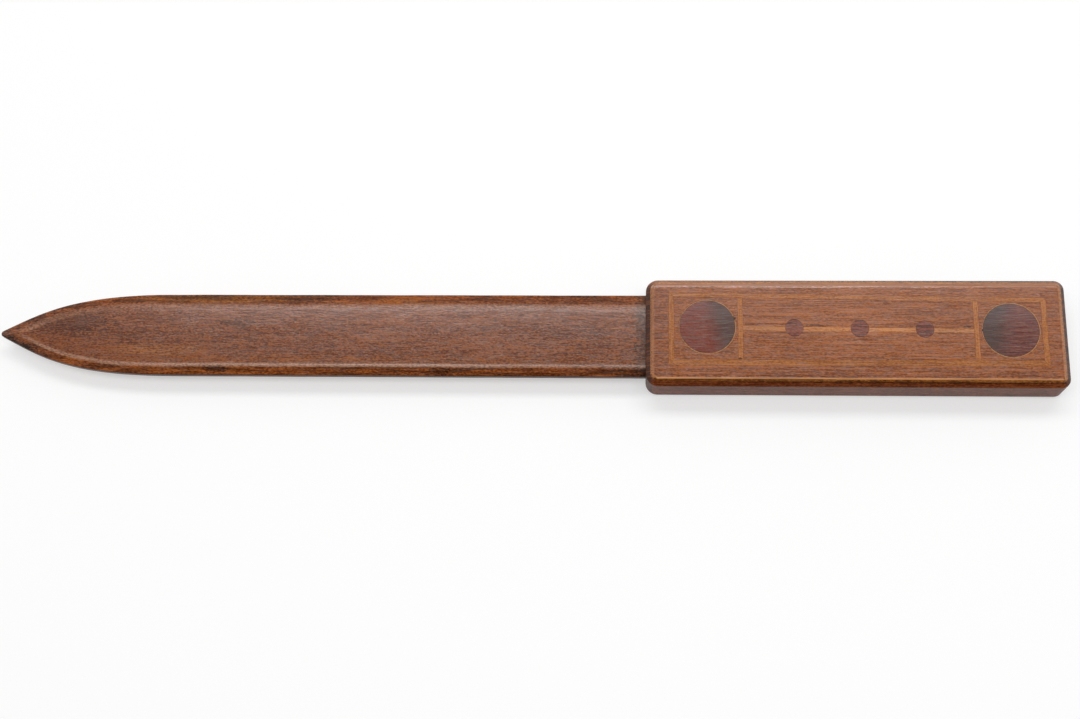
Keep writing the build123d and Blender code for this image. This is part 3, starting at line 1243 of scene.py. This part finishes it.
    def extrude_edge(self, piece: Piece, drop: float) -> None:
        """Extrude the lowest rim of the cage straight down.

        Args:
            piece: Cage in edit mode.
            drop: How far down.
        """
        lowest = min(vert.co.z for vert in bmesh.from_edit_mesh(piece.data).verts)
        select_edges(piece, lambda edge: at_height(edge, lowest) and edge.is_boundary)
        bpy.ops.mesh.extrude_region_move(TRANSFORM_OT_translate={"value": (0.0, 0.0, -drop)})

    def build(self) -> Piece:
        """Model the whole blade and dress it.

        Returns:
            The finished piece.
        """
        piece = self.shell()
        apply_modifier(piece, "SUBSURF", levels=self.levels, render_levels=self.levels)
        waves = bpy.data.textures.new("hand_work", "CLOUDS")
        waves.noise_scale = self.wave_size
        apply_modifier(piece, "DISPLACE", texture=waves, strength=self.waviness, mid_level=0.5)
        edit(piece)
        select_edges(piece, lambda edge: edge.is_boundary)
        bpy.ops.mesh.edge_face_add()
        face_outward()
        bpy.ops.transform.translate(value=(0.0, 0.0, self.middle_z))
        close_edit()
        tang = box_piece(
            "tang_tool",
            (self.handle_x - MM, -self.tang_width / 2, self.middle_z - self.tang_thickness / 2),
            (self.tang_end_x, self.tang_width / 2, self.middle_z + self.tang_thickness / 2),
        )
        carve(piece, tang, "UNION")
        smooth(piece, self.sharp_angle)
        finish_piece(piece, self.wood, self.wood.material(), "blade")
        return piece


# Handle


@dataclass
class Handle:
    """The handle's block: a core between a backing veneer and the border of the panel.

    Attributes:
        front_corner: Radius of the upright corners by the blade.
        butt_corner: Radius of those at the butt.
        bevel: Width of the bevel round the top.
        foot_bevel: Width of the slim bevel at the foot.
        far_arris: Distance from the top arris at which its rounding starts, far side and ends.
        near_arris: The same on the near side.
        lower_arris: The same for the arrises under the bevels.
        corner_steps: Steps round an upright corner.
        arris_steps: Steps round an arris.
        mortise_width: Width of the mortise for the tang.
        mortise_height: Height of the mortise.
        mortise_end_clearance: Gap between the tang's end and the bottom of the mortise.
        overrun: How far the mortise's tool stands out of the handle.
        sharp_angle: Angle in degrees from which an edge is shaded sharp.
    """

    front_corner: float = 3.4 * MM
    butt_corner: float = 2.7 * MM
    bevel: float = 1.9 * MM
    foot_bevel: float = 0.8 * MM
    far_arris: float = 0.55 * MM
    near_arris: float = 0.38 * MM
    lower_arris: float = 0.2 * MM
    corner_steps: int = 10
    arris_steps: int = 5
    mortise_width: float = 14.2 * MM
    mortise_height: float = 3.2 * MM
    mortise_end_clearance: float = 1 * MM
    overrun: float = 5 * MM
    sharp_angle: float = 32.0

    def __post_init__(self) -> None:
        """Take the handle's place and levels from the frame."""
        self.core_low, self.core_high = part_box("handle_core")
        self.low_z, self.backing_z = (corner.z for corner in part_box("backing_veneer"))
        self.veneer_z, self.high_z = (corner.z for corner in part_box("border_ground"))

    def form(self) -> Piece:
        """Model the whole outer form of the handle.

        Returns:
            The form, one closed block.
        """
        low, high = self.core_low, self.core_high
        piece = box_piece("handle_form", (low.x, low.y, self.low_z), (high.x, high.y, self.high_z))
        edit(piece)
        for end_x, radius in ((low.x, self.front_corner), (high.x, self.butt_corner)):
            self.soften(piece, lambda edge: self.is_upright(edge, end_x), radius, self.corner_steps)
        self.soften(piece, lambda edge: at_height(edge, self.high_z), self.bevel, 1)
        self.soften(piece, lambda edge: at_height(edge, self.low_z), self.foot_bevel, 1)
        for level in (self.high_z - self.bevel, self.low_z + self.foot_bevel):
            self.weigh(piece, lambda edge: at_height(edge, level), self.lower_arris)
        self.weigh(piece, lambda edge: at_height(edge, self.high_z), self.far_arris)
        turn_y = low.y + self.front_corner
        for step in range(self.corner_steps):
            share = (step + 1) / self.corner_steps
            reach = self.near_arris + (1 - share) * (self.far_arris - self.near_arris)
            limit = low.y + self.bevel + (1 - share) * (turn_y - low.y - self.bevel)
            self.weigh(piece, lambda edge: self.is_near_top(edge, limit), reach)
        close_edit()
        apply_modifier(
            piece, "BEVEL", width=self.far_arris, segments=self.arris_steps, limit_method="WEIGHT",
            use_clamp_overlap=False,
        )
        return piece

    def is_near_top(self, edge: Edge, limit: float) -> bool:
        """Whether an edge lies on the top arris, with its middle nearer than a limit along Y."""
        middle_y = sum(vert.co.y for vert in edge.verts) / 2
        return at_height(edge, self.high_z) and middle_y < limit

    def weigh(self, piece: Piece, wanted: EdgeTest, reach: float) -> None:
        """Mark some edges of the open mesh for rounding.

        Args:
            piece: Object in edit mode.
            wanted: Test of one edge.
            reach: Distance from the edge at which the rounding starts.
        """
        if select_edges(piece, wanted):
            # The operator adds to what is there, so an earlier mark is taken off first.
            bpy.ops.transform.edge_bevelweight(value=-1.0)
            bpy.ops.transform.edge_bevelweight(value=reach / self.far_arris)

    @staticmethod
    def is_upright(edge: Edge, x: float) -> bool:
        """Whether an edge runs along Z at one place along X."""
        first, second = (vert.co for vert in edge.verts)
        return (first.xy - second.xy).length < CLOSE and abs(first.x - x) < CLOSE

    @staticmethod
    def soften(piece: Piece, wanted: EdgeTest, width: float, steps: int) -> None:
        """Bevel the edges of the open mesh for which a test holds, in a given number of steps."""
        if select_edges(piece, wanted):
            bpy.ops.mesh.bevel(offset=width, segments=steps, affect="EDGES")

    def layer(self, form: Piece, name: str, low_z: float, high_z: float) -> Piece:
        """Saw one layer out of the form between two levels.

        Args:
            form: The whole form.
            name: Name of the layer.
            low_z: Lower level.
            high_z: Upper level.

        Returns:
            The layer.
        """
        piece = copy_of(form, name)
        for level, side in ((low_z, -1.0), (high_z, 1.0)):
            if self.low_z < level < self.high_z:
                edit(piece)
                select_all()
                bpy.ops.mesh.bisect(
                    plane_co=(0.0, 0.0, level), plane_no=(0.0, 0.0, side),
                    use_fill=True, clear_outer=True,
                )
                close_edit()
        smooth(piece, self.sharp_angle)
        return piece

    def build(self, opening: Piece) -> None:
        """Model and dress the three layers.

        Args:
            opening: Tool with the outline of the frame of stringing, used up here.
        """
        form = self.form()
        backing = self.layer(form, "backing_sheet", self.low_z, self.backing_z)
        finish_piece(backing, BACKING_VENEER, BACKING_VENEER.material(), "backing_veneer")
        core = self.layer(form, "core_block", self.backing_z, self.veneer_z)
        middle_z = (self.low_z + self.high_z) / 2
        start_x = self.core_low.x - self.overrun
        end_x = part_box("blade")[1].x + self.mortise_end_clearance
        half_width, half_height = self.mortise_width / 2, self.mortise_height / 2
        mortise = box_piece(
            "mortise_tool",
            (start_x, -half_width, middle_z - half_height),
            (end_x, half_width, middle_z + half_height),
        )
        carve(core, mortise, "DIFFERENCE")
        finish_piece(core, CORE_WOOD, CORE_WOOD.material(), "handle_core")
        border = self.layer(form, "border_sheet", self.veneer_z, self.high_z)
        carve(border, opening, "DIFFERENCE")
        for piece in (backing, core, border):
            apply_modifier(piece, "WEIGHTED_NORMAL", keep_sharp=True)
        finish_piece(border, BORDER_VENEER, BORDER_VENEER.material(), "border_ground")
        remove(form)


# Marquetry panel


@dataclass
class Panel:
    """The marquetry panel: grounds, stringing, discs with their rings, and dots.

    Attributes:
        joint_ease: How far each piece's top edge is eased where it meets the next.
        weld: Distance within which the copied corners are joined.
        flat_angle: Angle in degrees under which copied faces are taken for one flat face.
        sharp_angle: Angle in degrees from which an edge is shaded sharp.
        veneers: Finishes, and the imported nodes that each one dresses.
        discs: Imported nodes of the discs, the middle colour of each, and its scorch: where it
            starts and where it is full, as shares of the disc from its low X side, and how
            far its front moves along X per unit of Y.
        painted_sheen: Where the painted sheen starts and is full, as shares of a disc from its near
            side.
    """

    joint_ease: float = 0.035 * MM
    weld: float = 0.001 * MM
    flat_angle: float = 0.5
    sharp_angle: float = 30.0
    veneers: tuple[tuple[Wood, tuple[str, ...]], ...] = (
        (GROUND_VENEER, ("front_square_ground", "butt_square_ground", "far_panel_ground",
                         "near_panel_ground")),
        (STRING_ALONG, ("far_string", "near_string")),
        (STRING_ACROSS, ("front_end_string", "butt_end_string", "front_cross_string",
                         "butt_cross_string")),
        (CENTRE_STRING, tuple(f"centre_string_{index}" for index in range(1, 5))),
        (RING_VENEER, ("front_disc_ring", "butt_disc_ring")),
        (DOT_VENEER, ("dot_1", "dot_2", "dot_3")),
    )
    discs: tuple[tuple[str, Colour, Place], ...] = (
        ("front_disc", (0.193, 0.036, 0.02), (0.42, 0.87, 0.25)),
        ("butt_disc", (0.137, 0.036, 0.029), (0.62, 0.18, -0.15)),
    )
    painted_sheen: Span = (0.5, 0.8)

    def disc_wood(self, node: str, body: Colour, scorch: Place) -> Wood:
        """Finish of one disc, scorched between two places across it.

        Args:
            node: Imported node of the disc.
            body: Its middle colour.
            scorch: Its scorch, as in discs.

        Returns:
            The finish.
        """
        (low, near), (high, far) = ((corner.x / MM, corner.y / MM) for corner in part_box(node))
        start, full, lean = scorch
        return replace(
            DISC_VENEER, name=node + "_veneer", body=body, seed=low,
            scorch_start=low + start * (high - low), scorch_end=low + full * (high - low),
            scorch_lean=lean, sheen_start=near + self.painted_sheen[0] * (far - near),
            sheen_end=near + self.painted_sheen[1] * (far - near),
        )

    def opening(self) -> Piece:
        """Model the tool that cuts the frame's outline out of the border.

        Returns:
            The tool.
        """
        near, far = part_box("near_string")[0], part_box("far_string")[1]
        butt_far_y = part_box("butt_end_string")[1].y
        piece = box_piece("frame_tool", (near.x, near.y, near.z - MM), (far.x, far.y, far.z + MM))
        edit(piece)
        mesh = bmesh.from_edit_mesh(piece.data)
        bpy.context.tool_settings.mesh_select_mode = (True, False, False)
        for vert in mesh.verts:
            vert.select_set(vert.co.x > far.x - MM and vert.co.y > near.y + MM)
        bpy.ops.transform.translate(value=(0.0, butt_far_y - far.y, 0.0))
        close_edit()
        return piece

    def eased_copy(self, node: str) -> Piece:
        """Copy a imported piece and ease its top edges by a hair.

        Args:
            node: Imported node.

        Returns:
            The copy.
        """
        piece = copy_of(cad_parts[node], "inlay_" + node)
        top_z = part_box(node)[1].z
        edit(piece)
        bpy.ops.mesh.customdata_custom_splitnormals_clear()
        select_all()
        bpy.ops.mesh.remove_doubles(threshold=self.weld)
        bpy.ops.mesh.dissolve_limited(angle_limit=radians(self.flat_angle))
        if select_edges(piece, lambda edge: at_height(edge, top_z) and borders_upright(edge)):
            bpy.ops.mesh.bevel(offset=self.joint_ease, segments=1, affect="EDGES")
        close_edit()
        smooth(piece, self.sharp_angle)
        return piece

    def build(self) -> None:
        """Copy, ease and dress every piece of the panel."""
        discs = tuple((self.disc_wood(*disc), (disc[0],)) for disc in self.discs)
        for wood, nodes in self.veneers + discs:
            material = wood.material()
            for node in nodes:
                finish_piece(self.eased_copy(node), wood, material, node)


# Studio


@dataclass(frozen=True)
class SoftBox:
    """A long soft box that faces the object and lies along X.

    Attributes:
        name: Name of the light.
        start: Where its face starts, as an angle in degrees from the far horizon over the top.
        end: Where it ends.
        brightness: How bright its face is, where a white sheet in full light is 1.
        reach: Half of its length, as an angle in degrees.
        shift: How far its middle stands to the side of the butt, in degrees.
    """

    name: str
    start: float
    end: float
    brightness: float
    reach: float = 26.0
    shift: float = 4.0

    def hang(self, distance: float) -> None:
        """Add the light.

        Args:
            distance: Distance from the middle of the object.
        """
        middle = radians((self.start + self.end) / 2)
        data = bpy.data.lights.new(self.name, "AREA")
        data.shape = "RECTANGLE"
        data.size = 2 * distance * tan(radians(self.reach))
        data.size_y = 2 * distance * tan(radians(self.end - self.start) / 2)
        data.energy = self.brightness * pi * data.size * data.size_y
        light = bpy.data.objects.new(self.name, data)
        light.location = distance * Vector((tan(radians(self.shift)), cos(middle), sin(middle)))
        light.rotation_euler = (middle - pi / 2, 0.0, 0.0)
        bpy.context.scene.collection.objects.link(light)


@dataclass
class Studio:
    """The pale floor, the soft light and the camera at the photograph's viewing angle.

    Attributes:
        view_elevation: Angle of the view over the table, in degrees.
        view_turn: How far the camera is turned about the upright, in degrees.
        view_roll: How far it is rolled about its own axis, in degrees.
        camera_place: Place of the camera.
        focal_pixels: Focal length in pixels of the photograph.
        clip_start: Distance from which the camera sees.
        floor_size: Width of the floor.
        floor_colour: Colour with which the floor lights the object.
        seen_floor_colour: Colour with which it is seen, before its lift.
        floor_lift: Brightness added to it where it is seen.
        boxes: Soft boxes.
        light_distance: Distance of the boxes from the middle of the object.
        high_sky: Brightness of the room overhead.
        far_sky: Brightness of its far side.
        near_sky: Brightness of its near side.
        far_edge: Angles in degrees over the far horizon between which the far side ends.
        near_edge: Angles from there between which the near side starts.
        side_sky: How far along X, as a share, the bright ends of the room start and are full,
            and what they add.
    """

    view_elevation: float = 72.82
    view_turn: float = 10.58
    view_roll: float = -9.87
    camera_place: Place = (0.0284747, -0.1330309, 0.4211565)
    focal_pixels: float = 1548.5
    clip_start: float = 0.01
    floor_size: float = 6.0
    floor_colour: Colour = (0.88, 0.88, 0.88)
    seen_floor_colour: Colour = (0.55, 0.55, 0.55)
    floor_lift: float = 0.48
    boxes: tuple[SoftBox, ...] = (
        SoftBox("far_box", 54.0, 67.5, 5.4),
        SoftBox("top_box", 87.0, 102.0, 3.8),
    )
    light_distance: float = 1.2
    high_sky: float = 0.42
    far_sky: float = 0.5
    near_sky: float = 0.03
    far_edge: Span = (40.0, 60.0)
    near_edge: Span = (105.0, 115.0)
    side_sky: Step = (0.55, 0.8, 0.0, 0.8)

    def camera(self) -> None:
        """Place the camera."""
        data = bpy.data.cameras.new("view")
        data.sensor_width = SENSOR_WIDTH_MM
        data.lens = self.focal_pixels / IMAGE_WIDTH * SENSOR_WIDTH_MM
        data.clip_start = self.clip_start
        camera = bpy.data.objects.new("view", data)
        camera.matrix_world = (
            Matrix.Translation(self.camera_place)
            @ Matrix.Rotation(radians(self.view_turn), 4, "Z")
            @ Matrix.Rotation(pi / 2 - radians(self.view_elevation), 4, "X")
            @ Matrix.Rotation(radians(self.view_roll), 4, "Z")
        )
        bpy.context.scene.collection.objects.link(camera)
        bpy.context.scene.camera = camera

    def floor(self) -> None:
        """Lay the pale floor, shown a little lifted so that it reads as white paper."""
        deselect_all()
        bpy.ops.mesh.primitive_plane_add(size=self.floor_size)
        floor = bpy.context.object
        floor.name = "floor"
        graph = Graph(bpy.data.materials.new("pale_floor"))
        paper = graph.add("BsdfDiffuse", {"Color": self.floor_colour}).outputs[0]
        seen = graph.add("BsdfDiffuse", {"Color": self.seen_floor_colour}).outputs[0]
        lift = graph.add("Emission", {"Strength": self.floor_lift}).outputs[0]
        lifted = graph.add("AddShader", {0: seen, 1: lift}).outputs[0]
        rays = graph.add("LightPath").outputs
        shown = graph.math("MAXIMUM", rays["Is Camera Ray"], rays["Is Glossy Ray"])
        choice = graph.add("MixShader", {0: shown, 1: paper, 2: lifted}).outputs[0]
        graph.add("OutputMaterial", {0: choice})
        floor.data.materials.append(graph.owner)

    def room(self) -> None:
        """Give the room a bright far side and a dark near side."""
        world = bpy.data.worlds.new("room")
        graph = Graph(world)
        side, far, up = graph.parts(graph.add("TexCoord").outputs["Generated"])
        angle = graph.math("ARCTAN2", up, far)
        strength = graph.chain(
            "ADD",
            graph.remap(angle, *map(radians, self.near_edge), self.high_sky, self.near_sky),
            graph.remap(angle, *map(radians, self.far_edge), self.far_sky - self.high_sky, 0.0),
            graph.remap(graph.math("ABSOLUTE", side), *self.side_sky),
        )
        background = graph.add("Background", {"Strength": strength})
        graph.add("OutputWorld", {0: background.outputs[0]})
        bpy.context.scene.world = world

    def build(self) -> None:
        """Set the whole studio up."""
        self.camera()
        self.floor()
        for box in self.boxes:
            box.hang(self.light_distance)
        self.room()
        bpy.context.scene.view_settings.view_transform = "Standard"


def main() -> None:
    """Build every sub-assembly in order."""
    logging.basicConfig(level=logging.INFO, format="%(name)s %(message)s")
    panel = Panel()
    Blade().build()
    Handle().build(panel.opening())
    panel.build()
    Studio().build()


if __name__ == "__main__":
    main()
